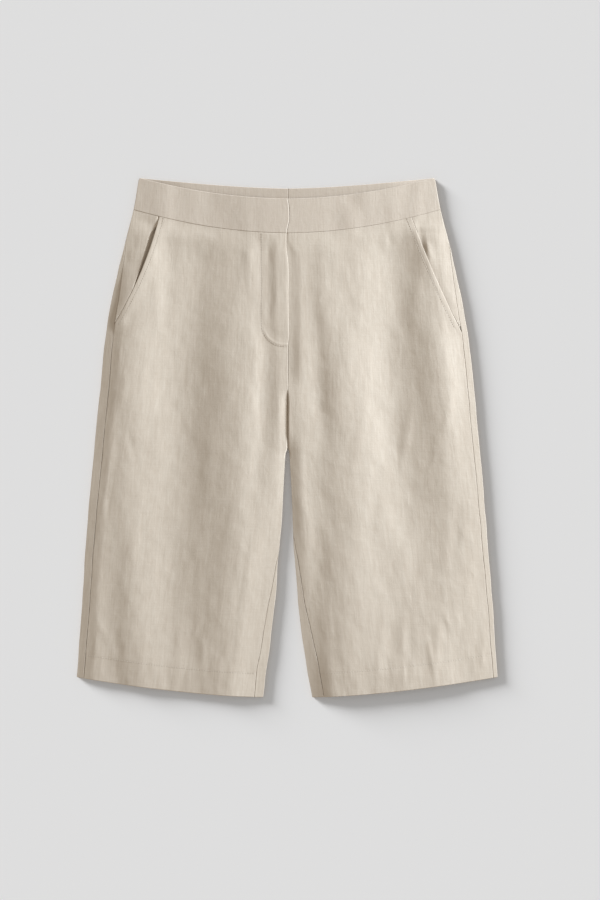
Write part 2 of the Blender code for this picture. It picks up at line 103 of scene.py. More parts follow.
# Tables along the garment have the columns y, right, left.
SIDE_FOLD = [
    (316.5, 181.4, 178.8), (277.5, 188, 185.8), (241, 197.5, 195), (216.5, 203.3, 201),
    (168, 214.6, 211.6), (119, 222.4, 219.8), (46, 229.8, 227.8), (-40, 238.4, 235.8),
    (-125, 245.6, 243), (-210, 251.2, 249.8), (-292, 257.2, 255),
]
INNER_FOLD = [
    (-13, 0, 0), (-16, 1.3, 1.1), (-20, 3.2, 1.9), (-60, 5.4, 4.2), (-99, 7.6, 5.8),
    (-150, 12.2, 8.2), (-198, 15.2, 12.2), (-247, 21.2, 17.8), (-316.5, 30.5, 29.3),
]
INNER_TURN = [  # width of the fronts' turn at the fork and at the inner folds
    (66, 0.3, 0.3), (54, 0.75, 0.65), (42, 1.25, 1.05), (33, 1.15, 0.95), (25, 0.7, 0.65),
    (2, 0.75, 0.7), (-8, 1.1, 0.85), (-13, 1.25, 0.9), (-16, 0.8, 0.55), (-20, 0.35, 0.35),
]
SIDE_SEAM_IN = [  # how far in from its fold a seam lies
    (316.5, 0, 0), (241, 0, 0), (219, 3.2, 2.4), (168, 8.6, 7), (40, 10.2, 8), (-60, 10, 7.6),
    (-292, 8.2, 5.2),
]
INNER_SEAM_IN = [
    (-118, 0, 0), (-145, 0.6, 3), (-198, 7.6, 7.2), (-240, 9.8, 12), (-280, 11.8, 14.6),
    (-316.5, 11, 14),
]
# y, and how far the lap's edge wanders there to the wearer's left
LAP_WANDER = [
    (111, 1.2), (168, 0.7), (215, 0.2), (235, -2), (249.5, -1.6), (256, -0.4), (265, 1.5),
    (275, 1.5), (284, 0.7), (291, -0.6),
]
Mouth = namedtuple("Mouth", "top_q top_y bottom_q bottom_y bow")
MOUTH = halves(Mouth(157, 268.5, 212.6, 136, 6), Mouth(150.5, 268.5, 209.6, 132, 2.5))
MOUTH_REACH = (-0.2, 1.3)  # the mouth's curve runs on past its ends
MOUTH_END = 25  # how far below its bottom the mouth still bounds the front
MOUTH_FADE = (-14, 6)  # its forms come in around its bottom
FLY_WIDTH = 32
FLY_BOTTOM_Y = 111
FLY_CORNER = 27
LAP_SPAN = (FLY_BOTTOM_Y, FLY_BOTTOM_Y + 14)
UNDERLAP = 12
BAND_UNDERLAP = 25
POCKET_UNDERLAP = 18
POCKET_BELOW = 12  # how far it runs on below the mouth
POCKET_TAPER = (5, 6)  # the height over which it narrows there, and by how much

# ---- heights of the top side
LOFT = 6.3
# beside the centre front, where the right laps over
CENTRE_LOFT = [(150, 6.5, 5.7), (112, 6.5, 6), (60, 6.5, 6.3), (40, 6.5, 6.5)]
CENTRE_WIDTH = 40
CENTRE_BOW = 1.5
FORK_LOFT = halves(5.3, 6.5)
FORK_WIDTH = 12
FORK_LOFT_SPAN = (66, 42)
LAP_LOFT = 6.5
LAP_PATCH = Patch(51, 51, 0.08, 6, 17)
LAP_LIP = 0.12  # how far the lap's edge turns down
LAP_LIP_WIDTH = 3
LAP_CLEARANCE = 0.15  # under the lap
FACING_FALL = 0.95  # how much lower the lap is beyond its facing
FACING_FALL_SPAN = (12.5, 24.5)
FLY_SPAN = (-17, 2)  # the front falls to the J stitching
FLY_LOW_SPAN = (FLY_BOTTOM_Y - 6, FLY_BOTTOM_Y + 60)
FLY_LOW_SHARE = 0.2  # of the lap's form, at its bottom
Ridge = namedtuple("Ridge", "height at width")
FLY_GROOVE = Ridge(-0.05, 0, 0.9)
FLY_RIDGE = Ridge(0.22, 1.7, 1.5)  # inside the round part of the J stitching
FLY_RIDGE_SPAN = (140, 122)
HEM_GROOVE = Ridge(-0.03, 0, 1)
MOUTH_LIFT_WIDTH = 12
MOUTH_GROOVE_WIDTH = 0.9
BELOW_BAND = 0.2  # how much lower the fronts lie at the band seam
BELOW_BAND_SPAN = (26, 1)
BELOW_BAND_PATCH = Patch(61, 61, 0.16, 13, 40)
BELOW_BAND_PUCKER = (5, 6)  # how far below the band, and half width
UNDER_REACH = (3, 16)  # where the left front falls to the lap: at the band, below
UNDER_REACH_SPAN = (2, 34)
UNDER_FACING_SPAN = (0, 5)
UNDER_DIP = 0.5  # how much lower the underlap lies near the band
UNDER_DIP_SPAN = (40, 20)
UNDER_DIP_WIDTH = 2
UNDER_SPAN = (54, 84)
SIDE_ROLL = halves(20, 30)  # where the top side rounds to its fold
INNER_ROLL = halves(40, 30)
FORK_ROLL = halves(24, 17)  # just below the fork
SIDE_BOW = 1.4
INNER_BOW = 1.45
FORK_BOW = 2
INNER_ROLL_SPAN = (-60, -190)
LOWEST_FRONT = 2.6
LOWEST_ROUND = 0.7
LOWEST_POCKET = 2.2
BAND_LOFT = 5.6
BAND_PATCH = Patch(81, 82, 0.25, 19, 33)
BAND_CENTRE_LOFT = halves(6.3, 5.75)
BAND_CENTRE_SPAN = halves((BAND_UNDERLAP + 40, BAND_UNDERLAP), (60, 10))
BAND_UNDER_LOFT = 4.1
BAND_LAP_SPAN = (0.45, 0.05)
BAND_ROLL = 30
BAND_LIFT = 1.7  # of the back band's top edge
BAND_LIFT_DEPTH = 17
BAND_LIFT_ENDS = (3, 60)

# A pocket mouth: the front's lift, its stitching's distance and groove, the step down to the side
# piece, the gap's depth, how far the side piece puffs up, and where it comes to follow the band.
MouthForm = namedtuple("MouthForm", "lift stitch_in groove step gap puff tuck spread")
MOUTH_FORM = halves(MouthForm(1, 6, 0.04, 0.6, 3.2, 0.3, -1, 3),  # it gapes near its top
                    MouthForm(0.5, 6, 0.1, 0.14, 0, 0.2, 0.2, 9))
MOUTH_CLOSED_SPANS = halves([(215, 182)], [(248, 258), (162, 146)])
CLOSED_STEP = 0.1  # where the mouth lies closed
CLOSED_STEP_SPAN = (0.42, 0.02)
MOUTH_GAP = 5  # its greatest width
MOUTH_GAP_TOP = 6  # how far below the mouth's top it starts
MOUTH_GAP_SPANS = ((0.02, 0.12), (0.74, 0.14))  # in shares of the mouth's height
GAP_SLOPE = (1.3, 0.1)  # where its floor rises, in shares of its width
GAP_DEPTH_SPAN = (0, 2.5)
NARROWEST_GAP = 0.01
MOUTH_INSIDE = 0.5  # how far in the front's height is read
POCKET_BOW = 1.25
POCKET_RISE_SPAN = (0, 18)  # by the side piece's width
PUFF_SPAN = (4, 22)
POCKET_PATCH = Patch(71, 72, 0.2, 9, 17)
POCKET_BAND_SPAN = (18, 1)

# ---- folds, creases and wrinkles
# Soft lengthwise folds: q and height at five levels from the hip to the hem, and half width.
FOLD_LEVELS = (190, 60, -40, -150, -290)
FOLDS = {
    "right": [
        ((10, 9, 12, 20, 30), (0, 0.6, 0.4, 0.2, 0), 8),  # beside the centre
        ((30, 26, 36, 50, 50), (0, -0.95, -0.35, 0, 0), 12),  # beside the fork
        ((62, 60, 63, 64, 76), (-0.4, 1.2, 1.5, 2.2, 1.9), 31),  # inner crest
        ((112, 129, 130, 136, 130), (-2.6, -3.6, -3.4, -2.2, 0.3), 34),  # down the middle
        ((148, 150, 150, 150, 150), (-0.8, 0, 0, 0, 0), 14),  # beside the pocket
        ((182, 193, 196, 190, 181), (1.1, 1.7, 1, 1.3, 2.2), 25),  # outer crest
        ((205, 212, 219, 229, 237), (0, 0.2, 0.3, 0.5, 0.6), 12),  # beside the side seam
    ],
    "left": [
        ((10, 11, 14, 18, 26), (0, 0.5, 0.5, 0.5, 0), 9),
        ((28, 38, 42, 38, 50), (-0.2, -1.2, -0.3, -0.6, 0), 12),
        ((40, 40, 40, 44, 48), (0, 0, 0, 0.2, 1.6), 18),
        ((60, 68, 76, 74, 80), (-0.1, 1.5, 1.2, 2.1, 3.1), 30),
        ((110, 110, 110, 110, 112), (0, 0, 0, 0.2, 1.3), 22),
        ((126, 131, 140, 163, 146), (-2.6, -3.1, -2.7, -1, 3.1), 31),
        ((173, 188, 193, 198, 188), (0.9, 1.7, 0.7, 0.4, 1.5), 20),
    ],
}
FOLD_TOP_SPAN = (266, 210)

# Creases: middle q and y, lean in degrees, length, half width, height.
CREASES = {
    "right": [
        (214, -55, 9, 120, 5, -0.32), (191, -9, -14, 30, 4, -0.3), (200, 62, 12, 46, 5, 0.25),
        (158, 160, 0, 62, 9, 0.45), (176, -128, 5, 90, 6, -0.25), (95, -30, 6, 70, 8, 0.25),
        (60, -200, 4, 72, 7, -0.3), (133, -270, 3, 70, 7, 0.35), (104, -262, 2, 58, 6, 0.3),
        (208, -262, 4, 52, 6, -0.25), (19, 250, 0, 26, 3, -0.25), (47, 222, 3, 34, 5, 0.2),
        (112, -234, 25, 20, 3.2, 0.25), (227, -232, -22, 32, 4, 0.2),
    ],
    "left": [
        (205, -118, -6, 90, 7, -0.3), (196, 34, -9, 58, 6, 0.3), (170, -30, -12, 44, 5, -0.25),
        (157, 180, -6, 72, 7, 0.35), (145, 2, -9, 66, 6, 0.4), (90, 20, -7, 84, 8, 0.25),
        (104, -96, -4, 66, 7, -0.28), (112, -262, -4, 80, 6, 0.4), (139, -250, -3, 60, 6, 0.35),
        (180, -268, -5, 70, 6, 0.4), (238, -262, -4, 48, 5, 0.3), (11, 252, 0, 26, 3, -0.2),
        (124, 246, 5, 24, 4, -0.3), (42, 168, 0, 84, 8, 0.2), (173, -263, 12, 46, 3.2, 0.35),
        (193, -221, 22, 24, 3, 0.3), (141, -287, 0, 20, 2.6, 0.25), (237, -270, 0, 18, 2.4, 0.22),
    ],
}
POCKET_CREASES = {
    "right": [(172, 262, -6, 22, 4, -0.3)],
    "left": [
        (164.3, 231, 18, 15, 3.2, -0.55), (164, 236, 13, 38, 5, -0.6), (171, 228, 14, 26, 4, 0.5),
        (181, 246, 10, 34, 7, 0.4),
    ],
}
# Lengthwise waves of the front waistband: q at the seam, half width, height.
BAND_WAVES = {
    "right": [(102, 30, -0.45), (52, 16, 0.55), (15, 7, 0.25), (41, 5, -0.14), (28, 4, 0.12)],
    "left": [(140, 12, -0.3), (168, 7, -0.3)],
}
BAND_WAVE_LEAN = 0.1
GRAIN_DRIFT = Patch(100, 200, 5, 60, 90)  # how the wrinkles' lines stray sideways
WIDE_WRINKLES = Patch(101, 201, 0.24, 25, 52)
STREAKS = Patch(102, 202, 0.07, 7.5, 20)
FINE_WRINKLES = Patch(103, 203, 0.032, 3.6, 8)
COCKLE = Patch(104, 204, 0.09, 12, 13)
STREAK_SHARES = (0.75, 0.7)  # everywhere, more in the lower legs
STREAK_SPAN = (-60, -230)
CALM_SHARE = 0.35  # taken from small wrinkles at the hips
CALM_SPAN = (90, 200)
LEG_FAN = 0.092  # how threads fan out down the legs and over the hips
HIP_FAN = 0.15
HIP_FAN_BOW = 1.5
HIP_WIDTH = 230
WIDEST = 240

# ---- cloth
CLOTH = 0.9  # one layer
TURNED = 0.8  # more where cloth is turned under
HEM_SPAN = (1, -1)
FACING_SPAN = (-0.6, 0.6)
LAP_TURN_SPAN = (1.5, 6.5)  # in from the lap's edge
BAND_CLOTH = 1.8
CORNER_ROUND = 2.2  # of the waistband's corners at the side
Edge = namedtuple("Edge", "width depth")  # how far in an edge rounds, how fully
SEAM_EDGE = Edge(0.55, 1)
CRISP_EDGE = Edge(0.3, 0.2)
FLAT_SEAM_EDGE = Edge(0.5, 0.35)
FOLDED_EDGE = Edge(0.4, 1)
LAP_EDGE = Edge(1, 0.34)
# Cut edges that face +X, towards the key lamp, are crisp.
FACING_CENTRE = halves(CRISP_EDGE, SEAM_EDGE)
FACING_SIDE = halves(SEAM_EDGE, CRISP_EDGE)
MOUTH_EDGE = halves(Edge(0.7, 0.8), Edge(1.3, 0.24))
TOP_EDGE = Edge(0.2, 1)
THINNEST = 0.07  # share of the thickness left on an edge
BODY_EDGE_SPAN = (-30, 0)

# Flat size and area of what shows of a piece, in metres.
Flat = namedtuple("Flat", "size area")
FRONT_FLAT = Flat((0.256, 0.594), 0.122)
BACK_FLAT = Flat((0.272, 0.594), 0.135)
POCKET_FLAT = Flat((0.074, 0.156), 0.0062)
BAND_FRONT_FLAT = halves(Flat((0.190, 0.042), 0.190 * 0.0393),
                         Flat((0.212, 0.042), 0.212 * 0.0393))
BAND_BACK_FLAT = Flat((0.190, 0.040), 0.190 * 0.0385)

# ---- grids
NEAR_EDGE = (0, 0.09, 0.25, 0.5, 0.85, 1.3, 1.9, 2.7)
NEAR_LAP = (-1.2, -0.6, -0.2, 0.02, 0.12, 0.22, 0.32, 0.42, 0.55, 0.9, 1.5)  # beside a lap
BEFORE_LAP = 1.3  # spacing of columns before it
FRONT_ROWS = 2.5  # spacing of rows
BACK_ROWS = 4.5
SMALL_ROWS = 1.6
FINER_FRONT = [  # from, to, spacing
    (HEM_Y + HEM_DEPTH - 3, HEM_Y + HEM_DEPTH + 3, 0.75),
    (FLY_BOTTOM_Y - 8, FLY_BOTTOM_Y + 40, 1.5),
]
FINER_BACK = [(195, 262, 2.5)]
CENTRE_COLUMNS = (52, 1.1)  # up to how far from the edge, spacing
SIDE_COLUMNS = (11, 0.85)
BACK_COLUMNS = (24, 0.85)
MIDDLE_COLUMNS = {"front": 78, "back": 34, "pocket": 24, "band_front": 100, "band_back": 96}
NORMAL_STEP = 0.04

# ---- stitches
THREAD_RADIUS = 0.19
STITCH_LENGTH = 2.5
STITCH_PITCH = 3.1
STITCH_JITTER = 0.15
STITCH_SIDES = 6
# rings of a stitch: place along it and size
STITCH_RINGS = ((-0.5, 0.25), (-0.42, 0.75), (-0.2, 1), (0.2, 1), (0.42, 0.75), (0.5, 0.25))
STITCH_STAND = 0.5  # how far a stitch's middle stands up, in radii
STITCH_DIVE = 1.2  # how far its ends go down from there
HEM_STAND = halves(0.25, 0.05)
HEM_STITCH_ENDS = (-290, -265)  # heights at the inner seam and at the side seam
STITCH_INSET = 1.5  # of a hem's stitching from the seams
BAND_INSET = 1  # of other stitching from the band

# ---- materials
CLOTH_COLOURS = ((0.611, 0.487, 0.359), (0.768, 0.652, 0.510))  # dark, light
BAND_COLOURS = ((0.594, 0.470, 0.348), (0.737, 0.622, 0.488))
BAND_SLUB = 0.85
THREAD_COLOURS = ((0.56, 0.46, 0.35), (0.69, 0.60, 0.48))
FLOOR_COLOUR = (0.8, 0.8, 0.8)
# The cloth's noises: size across and along the threads, distortion, share in tone and height.
Noise = namedtuple("Noise", "across along distortion tone height")
LENGTHWISE = Noise(3, 30, 0.8, 0.62, 1)
CROSSWISE = Noise(22, 1.3, 0.3, 0.24, 0.6)
MOTTLED = Noise(6.5, 9, 0.6, 0.3, 1.2)
CLOUDY = Noise(34, 70, 0, 0.25, 0)
NOISE_DETAIL = 2
WARP_SCALE = 0.52
WEFT_SCALE = 0.48
WEAVE_HEIGHT = 0.25

# ---- studio
VIEW_CENTRE = (15.9, -15.25)  # middle of the picture on the floor
VIEW_HEIGHT = 1098  # what the picture takes in
LENS = 100
SENSOR = 36
FLOOR_Z = -0.1
FLOOR_SIDE = 9  # metres
WORLD_LIGHT = 0.42
FLOOR_SUN = 0.2
SHADOW_SUN = 1.35
SHADOW_SUN_FROM = (13, 143)  # degrees above the floor, and round from +X
SHADOW_SUN_SPREAD = 20
KEY_FROM = (10.5, 27)
KEY_DISTANCE = 2.6  # metres
KEY_SIZE = 0.6
KEY_POWER = 187
KEY_COLOUR = (0.86, 1, 1.2)
WORLD_COLOUR = (1.02, 1, 0.98)
FLOOR_SUN_COLOUR = (0.985, 1, 1.018)


# ---- small functions

def ramp(start, end, value):
    """0 up to start, 1 from end on, with a soft change between."""
    t = np.clip((np.asarray(value, float) - start) / (end - start), 0, 1)
    return t * t * (3 - 2 * t)


def bell(value, width):
    return np.exp(-(value / width) ** 2)


def curve_through(xs, ys, x):
    """Value at x of the ramp curve through a table of points, xs rising."""
    xs = np.asarray(xs, float)
    ys = np.asarray(ys, float)
    slopes = np.gradient(ys, xs)
    x = np.clip(np.asarray(x, float), xs[0], xs[-1])
    i = np.clip(np.searchsorted(xs, x, side="right") - 1, 0, len(xs) - 2)
    width = xs[i + 1] - xs[i]
    t = (x - xs[i]) / width
    return ((2 * t**3 - 3 * t**2 + 1) * ys[i] + (t**3 - 2 * t**2 + t) * width * slopes[i]
            + (3 * t**2 - 2 * t**3) * ys[i + 1] + (t**3 - t**2) * width * slopes[i + 1])


def column(table, half):
    """Rising heights of a table along the garment, and its values for one half."""
    rows = sorted(table)
    return [row[0] for row in rows], [row[1 if half == "right" else 2] for row in rows]


def table_at(table, half, y):
    return np.interp(y, *column(table, half))


def patchy(seed, x, y, cell_x, cell_y):
    """Smooth random relief between about -1 and 1, in patches of the given size."""
    size = 64
    lattice = np.random.default_rng(seed).uniform(-1, 1, (size, size))
    u = np.asarray(x, float) / cell_x + 17
    v = np.asarray(y, float) / cell_y + 31
    i = np.floor(u).astype(int)
    j = np.floor(v).astype(int)
    a = u - i
    b = v - j
    a = a * a * a * (a * (a * 6 - 15) + 10)
    b = b * b * b * (b * (b * 6 - 15) + 10)

    def corner(di, dj):
        return lattice[(i + di) % size, (j + dj) % size]

    low = corner(0, 0) * (1 - a) + corner(1, 0) * a
    high = corner(0, 1) * (1 - a) + corner(1, 1) * a
    return low * (1 - b) + high * b


def patches(form, half, x, y):
    return form.height * patchy(getattr(form, half), x, y, form.across, form.along)


def ridge(form, distance):
    return form.height * bell(distance - form.at, form.width)


# ---- outline and seams

def side_fold(half, y):
    wave = patches(SIDE_WAVE, half, y, 0 * y) * ramp(*SIDE_WAVE_SPAN, y)
    return curve_through(*column(SIDE_FOLD, half), y) + wave


def inner_fold(half, y):
    wave = patches(INNER_WAVE, half, y, 0 * y) * ramp(*INNER_WAVE_SPAN, y)
    return table_at(INNER_FOLD, half, y) + wave


def fold_start(half, y):
    """Where the top side ends and the side fold's arc starts."""
    return side_fold(half, y) - FOLD_WIDTH


def seam_angle(inset):
    """Angle down the fold's arc at which a seam lies that is this far in."""
    return np.arcsin(np.clip(1 - inset / FOLD_WIDTH, 0, 1))


def turn_down(y):
    """Angle through which the fronts turn down into the fork."""
    return 0.5 * math.pi * ramp(*FORK_TURN_SPAN, y)


def leg_share(y):
    """0 in the body of the shorts, 1 in the legs."""
    return ramp(*LEG_SPAN, y)


def mouth_at(half, y):
    mouth = MOUTH[half]
    t = (mouth.top_y - np.asarray(y, float)) / (mouth.top_y - mouth.bottom_y)
    t = np.clip(t, *MOUTH_REACH)
    return mouth.top_q + t * (mouth.bottom_q - mouth.top_q) - 4 * mouth.bow * t * (1 - t)


def pocket_share(half, y):
    """1 beside the pocket mouth, 0 below it."""
    bottom = MOUTH[half].bottom_y
    return ramp(bottom + MOUTH_FADE[0], bottom + MOUTH_FADE[1], y)


def seam_opened(most, half, y):
    return most[half] * (1 + patches(OPEN_PATCH, half, y, 0 * y))


def front_side_end(half, y):
    opened = seam_opened(SIDE_OPEN, half, y) * ramp(*SIDE_OPEN_SPAN, y)
    seam = side_fold(half, y) - table_at(SIDE_SEAM_IN, half, y) - GAP / 2 - opened
    at_mouth = y > MOUTH[half].bottom_y - MOUTH_END
    return np.where(at_mouth, np.minimum(seam, mouth_at(half, y)), seam)


def fly_share(y):
    """1 along the lap, 0 below the fly."""
    return ramp(*LAP_SPAN, y)


def lap_wander(y):
    return curve_through(*zip(*LAP_WANDER), y)


def arc_top(half, y):
    """Distance q at which the inner fold's arc starts to turn down."""
    return inner_fold(half, y) + table_at(INNER_TURN, half, y) * np.sin(turn_down(y))


def front_centre_end(half, y):
    """Path place of the lap's or underlap's edge, and of the seam below it."""
    inset = table_at(INNER_SEAM_IN, half, y)
    turn = np.minimum(turn_down(y), seam_angle(inset))
    opened = seam_opened(INNER_OPEN, half, y) * ramp(*INNER_OPEN_SPAN, inset)
    seam = np.where(inset > FOLD_WIDTH, inner_fold(half, y) + inset + GAP / 2 + opened,
                    arc_top(half, y) - FOLD_RADIUS * turn + GAP / 2)
    if half == "left":
        return seam - (UNDERLAP - lap_wander(y)) * fly_share(y)
    return seam - lap_wander(y) * fly_share(y)


def fly_distance(q, y):
    """Distance in from the J stitching: positive on the fly facing."""
    over = q - (FLY_WIDTH - FLY_CORNER)
    under = FLY_BOTTOM_Y + FLY_CORNER - y
    straight = np.minimum(FLY_WIDTH - q, y - FLY_BOTTOM_Y)
    return np.where((over > 0) & (under > 0), FLY_CORNER - np.hypot(over, under), straight)


# ---- how rows bend

def across(half, q, y):
    """0 at the side fold, 1 at the centre line or inner fold."""
    inner = np.where(y < FORK_Y, table_at(INNER_FOLD, half, y), 0)
    side = curve_through(*column(SIDE_FOLD, half), y)
    return np.clip((side - np.abs(q)) / (side - inner), 0, 1)


def centre_drop(half, q, y, drop, bow=SEAM_BOW):
    return drop * (1 - (1 - across(half, q, y)) ** bow)


def bent_row(half, seam_drop, q, y):
    """Height of a row, level at the fork, that follows the hem and the band seam."""
    low = centre_drop(half, q, y, HEM_DROP, HEM_BOW) * ramp(*HEM_BEND_SPAN, y)
    high = centre_drop(half, q, y, seam_drop) * ramp(*BAND_BEND_SPAN, y)
    return y - low - high


def hem_line(half, q, y):
    """Height of the hem's stitching."""
    drop = centre_drop(half, q, HEM_Y + 0 * y, HEM_DROP, HEM_BOW)
    return HEM_Y - drop + HEM_DEPTH


def band_seam(half, q, y):
    return BAND_SEAM_Y - centre_drop(half, q, BAND_SEAM_Y + 0 * y, BAND_SEAM_DROP)


def grain(q, y):
    """Distance across the cloth of a lengthwise thread."""
    down = np.maximum(FORK_Y - y, 0)
    up = np.maximum(y - FORK_Y, 0)
    return q - LEG_FAN * down + HIP_FAN * up * (np.clip(q, 0, WIDEST) / HIP_WIDTH) ** HIP_FAN_BOW


# ---- relief of the top side

def crease_relief(creases, q, y):
    total = np.zeros(np.broadcast(q, y).shape)
    for at_q, at_y, lean, length, width, height in creases:
        angle = math.radians(lean)
        along = (y - at_y) * math.cos(angle) - (q - at_q) * math.sin(angle)
        beside = (q - at_q) * math.cos(angle) + (y - at_y) * math.sin(angle)
        total = total + height * bell(beside, width) * bell(along, length / 2)
    return total


def fold_relief(half, q, y):
    levels = FOLD_LEVELS[::-1]
    total = np.zeros(np.broadcast(q, y).shape)
    for places, heights, half_width in FOLDS[half]:
        place = curve_through(levels, places[::-1], y)
        height = curve_through(levels, heights[::-1], y)
        total = total + height * bell(q - place, half_width)
    return total * ramp(*FOLD_TOP_SPAN, y)


def fine_relief(half, q, y):
    """Small wrinkles along the threads, and the loose waviness of linen."""
    g = grain(q, y) + patches(GRAIN_DRIFT, half, q, y)
    everywhere, lower = STREAK_SHARES
    streaks = patches(STREAKS, half, g, y) * (everywhere + lower * ramp(*STREAK_SPAN, y))
    small = streaks + patches(FINE_WRINKLES, half, g, y)
    calm = 1 - CALM_SHARE * ramp(*CALM_SPAN, y)
    return patches(WIDE_WRINKLES, half, g, y) + patches(COCKLE, half, q, y) + small * calm


def top_height(half, q, y):
    """Height of the top side between its folds, without its seams."""
    z = LOFT + fold_relief(half, q, y)
    z = 0.5 * (z + LOWEST_FRONT + np.hypot(z - LOWEST_FRONT, LOWEST_ROUND))
    z = z + crease_relief(CREASES[half], q, y)
    z = z + fine_relief(half, q, y)
    roll = SIDE_ROLL[half]
    out = np.clip((q - fold_start(half, y) + roll) / roll, 0, 1) ** SIDE_BOW
    z = z + (EDGE_HEIGHT - z) * out
    body = 1 - leg_share(y)
    middle = np.clip(1 - q / CENTRE_WIDTH, 0, 1) ** CENTRE_BOW
    z = z + (table_at(CENTRE_LOFT, half, y) - z) * middle * body
    middle = np.clip(1 - q / FORK_WIDTH, 0, 1) ** CENTRE_BOW
    z = z + (FORK_LOFT[half] - z) * middle * body * ramp(*FORK_LOFT_SPAN, y)
    low = ramp(*INNER_ROLL_SPAN, y)
    roll = FORK_ROLL[half] + (INNER_ROLL[half] - FORK_ROLL[half]) * low
    bow = FORK_BOW + (INNER_BOW - FORK_BOW) * low
    inner = inner_fold(half, y) + FOLD_WIDTH
    down = np.clip((inner + roll - q) / roll, 0, 1) ** bow
    return z + (EDGE_HEIGHT - z) * down * leg_share(y)


def lap_relief(z, q, y):
    """The right front's height with its lap and the J stitching."""
    inside = fly_distance(q, y)
    lap = LAP_LOFT - FACING_FALL * ramp(*FACING_FALL_SPAN, FLY_WIDTH - inside)
    lap = lap - LAP_LIP * (1 - ramp(0, LAP_LIP_WIDTH, q + lap_wander(y)))
    lap = lap + patches(LAP_PATCH, "right", q, y)
    share = FLY_LOW_SHARE + (1 - FLY_LOW_SHARE) * ramp(*FLY_LOW_SPAN, y)
    z = z + (lap - z) * ramp(*FLY_SPAN, inside) * share
    return z + ridge(FLY_GROOVE, inside) + ridge(FLY_RIDGE, inside) * ramp(*FLY_RIDGE_SPAN, y)


def underlap_relief(z, q, y, below):
    """The left front's height where it passes under the lap."""
    beyond = q - lap_wander(y)
    at_band, lower = UNDER_REACH
    reach = at_band + (lower - at_band) * ramp(*UNDER_REACH_SPAN, below)
    facing = TURNED * ramp(*UNDER_FACING_SPAN, -beyond)
    under = LAP_LOFT - LAP_LIP - LAP_CLEARANCE - CLOTH - facing
    dip = UNDER_DIP * ramp(*UNDER_DIP_SPAN, below)
    under = under - dip * ramp(0, UNDER_DIP_WIDTH, -beyond)
    return z + (under - z) * ramp(reach, 0, beyond) * ramp(*UNDER_SPAN, y)


def front_height(half, q, y):
    """Height of a front, with its lap, stitched lines and seams."""
    z = top_height(half, q, y)
    if half == "right":
        z = lap_relief(z, q, y)
    form = MOUTH_FORM[half]
    mouth = mouth_at(half, y)
    at_pocket = pocket_share(half, y)
    z = z + form.lift * at_pocket * bell(q - mouth, MOUTH_LIFT_WIDTH)
    z = z - form.groove * at_pocket * bell(q - mouth + form.stitch_in, MOUTH_GROOVE_WIDTH)
    z = z + ridge(HEM_GROOVE, y - hem_line(half, q, y))
    below = band_seam(half, q, y) - y
    z = z + (band_face(half, q, y) - BELOW_BAND - z) * ramp(*BELOW_BAND_SPAN, below)
    at, width = BELOW_BAND_PUCKER
    z = z - patches(BELOW_BAND_PATCH, half, q, y) * bell(below - at, width)
    if half == "left":
        z = underlap_relief(z, q, y, below)
    return z


def hem_wall(half, q, y):
    """Thickness of a panel with its hem turned up."""
    return CLOTH + TURNED * ramp(*HEM_SPAN, y - hem_line(half, q, y))


def front_wall(half, q, y):
    wall = hem_wall(half, q, y)
    if half == "right":
        facing = ramp(*FACING_SPAN, fly_distance(q, y))
        facing = facing * ramp(*LAP_TURN_SPAN, q + lap_wander(y))
        wall = np.maximum(wall, CLOTH + TURNED * facing)
    return wall


def mouth_gap(half, y):
    """Width of the gap in front of the side piece, along a pocket mouth."""
    mouth = MOUTH[half]
    t = (mouth.top_y - MOUTH_GAP_TOP - y) / (mouth.top_y - mouth.bottom_y)
    opens, closes = MOUTH_GAP_SPANS
    return MOUTH_GAP * ramp(*opens, t) * ramp(*closes, t)


def pocket_height(half, q, y):
    """The side piece comes out of the mouth's gap and runs out to the side fold."""
    form = MOUTH_FORM[half]
    mouth = np.minimum(mouth_at(half, y), side_fold(half, y) - table_at(SIDE_SEAM_IN, half, y))
    at_mouth = front_height(half, np.minimum(q, mouth - MOUTH_INSIDE), y)
    closed = sum(ramp(*span, y) for span in MOUTH_CLOSED_SPANS[half])
    step = CLOSED_STEP + (CLOTH + CLOSED_STEP) * ramp(*CLOSED_STEP_SPAN, q - mouth)
    at_mouth = at_mouth - (CLOTH + form.step) * (1 - closed) - step * closed
    width = np.maximum(fold_start(half, y) - mouth, 1)
    t = np.clip((q - mouth) / width, 0, 1)
    z = at_mouth + (EDGE_HEIGHT - at_mouth) * ramp(*POCKET_RISE_SPAN, width) * t**POCKET_BOW
    z = z + form.puff * np.sin(math.pi * t) * ramp(*PUFF_SPAN, width)
    z = z + patches(POCKET_PATCH, half, q, y) * np.sin(math.pi * t)
    z = z + crease_relief(POCKET_CREASES[half], q, y)
    at_band = ramp(*POCKET_BAND_SPAN, band_seam(half, q, y) - y)
    beside = ramp(form.tuck, form.tuck + form.spread, q - mouth)
    z = z + (band_face(half, q, y) - BELOW_BAND - z) * at_band * beside
    gap = mouth_gap(half, y)
    wide, steep = np.multiply.outer(GAP_SLOPE, np.maximum(gap, NARROWEST_GAP))
    deep = form.gap * ramp(wide, steep, q - mouth) * ramp(*GAP_DEPTH_SPAN, gap)
    return np.maximum(z - deep, LOWEST_POCKET)


def band_face(half, q, y):
    """Height of the front waistband, as if it had no underlap."""
    z = BAND_LOFT + patches(BAND_PATCH, half, q, y)
    for at_q, width, height in BAND_WAVES[half]:
        z = z + height * bell(q - at_q - BAND_WAVE_LEAN * (y - BAND_SEAM_Y), width)
    z = z + (BAND_CENTRE_LOFT[half] - z) * ramp(*BAND_CENTRE_SPAN[half], q)
    edge = fold_start(half, y)
    return z + (EDGE_HEIGHT - z) * ramp(edge - BAND_ROLL, edge, q)


